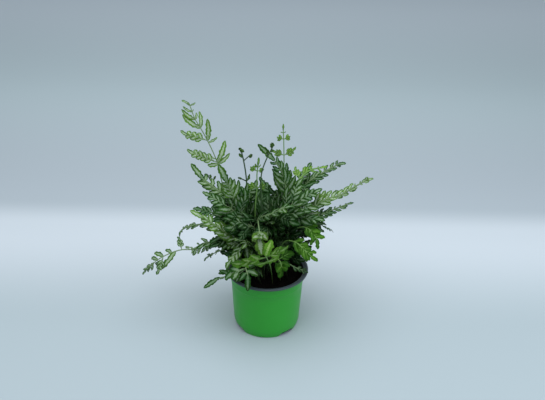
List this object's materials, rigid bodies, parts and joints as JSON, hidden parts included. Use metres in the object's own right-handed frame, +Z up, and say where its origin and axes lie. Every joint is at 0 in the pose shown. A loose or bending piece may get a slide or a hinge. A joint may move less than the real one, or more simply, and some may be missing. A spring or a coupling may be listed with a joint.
{
  "type": "potted fern",
  "caption": "Bushy silver-striped fern with arching divided fronds and coiled young ones, growing in soil in a tapered green plastic nursery pot with a dark grey rim.",
  "frame": {"origin": "centre of the pot's flat underside, in the plane of the surface it stands on", "axes": "+Z up along the pot's axis, -Y towards the front as pictured, +X to that viewer's right"},
  "size_m": [0.3253, 0.2173, 0.3271],
  "materials": {
    "pot_green": "satin bright green outside, dark slate grey rim and inside",
    "peat_soil": "moist, nearly black crumbly peat",
    "striped_leaf": "soft satin dark green with a wide silver-green band along each leaflet",
    "young_leaf": "soft satin yellow-green with a paler band",
    "crozier_green": "matte olive green coils"
  },
  "bodies": {
    "root": {"frond_back_corner": "striped_leaf", "frond_back_inner": "striped_leaf", "frond_back_left": "striped_leaf", "frond_back_middle": "striped_leaf", "frond_back_right": "striped_leaf", "frond_back_side": "striped_leaf", "frond_back_skirt": "striped_leaf", "frond_bowed_left": "striped_leaf", "frond_centre_low": "striped_leaf", "frond_centre_up": "striped_leaf", "frond_crozier_high": "crozier_green", "frond_crozier_left": "crozier_green", "frond_crozier_right": "crozier_green", "frond_far_right": "striped_leaf", "frond_front_bright": "young_leaf", "frond_front_left": "striped_leaf", "frond_front_left_up": "striped_leaf", "frond_front_right": "striped_leaf", "frond_front_silver": "striped_leaf", "frond_hanging_near": "young_leaf", "frond_hanging_right": "young_leaf", "frond_left_high": "striped_leaf", "frond_left_inner": "striped_leaf", "frond_left_low": "striped_leaf", "frond_left_skirt": "striped_leaf", "frond_low_front_right": "young_leaf", "frond_low_right": "striped_leaf", "frond_middle_left": "striped_leaf", "frond_rear_centre": "striped_leaf", "frond_rear_right": "striped_leaf", "frond_right_high": "striped_leaf", "frond_right_inner": "striped_leaf", "frond_right_low": "striped_leaf", "frond_rim_front": "striped_leaf", "frond_rim_left": "striped_leaf", "frond_rim_right": "striped_leaf", "frond_striped_left": "striped_leaf", "frond_tall_left": "striped_leaf", "frond_trailing_left": "striped_leaf", "frond_twig_left": "striped_leaf", "frond_upper_left": "striped_leaf", "frond_young_centre": "young_leaf", "frond_young_high": "young_leaf", "frond_young_right": "young_leaf", "pot": "pot_green", "soil": "peat_soil"}
  },
  "joints": []
}
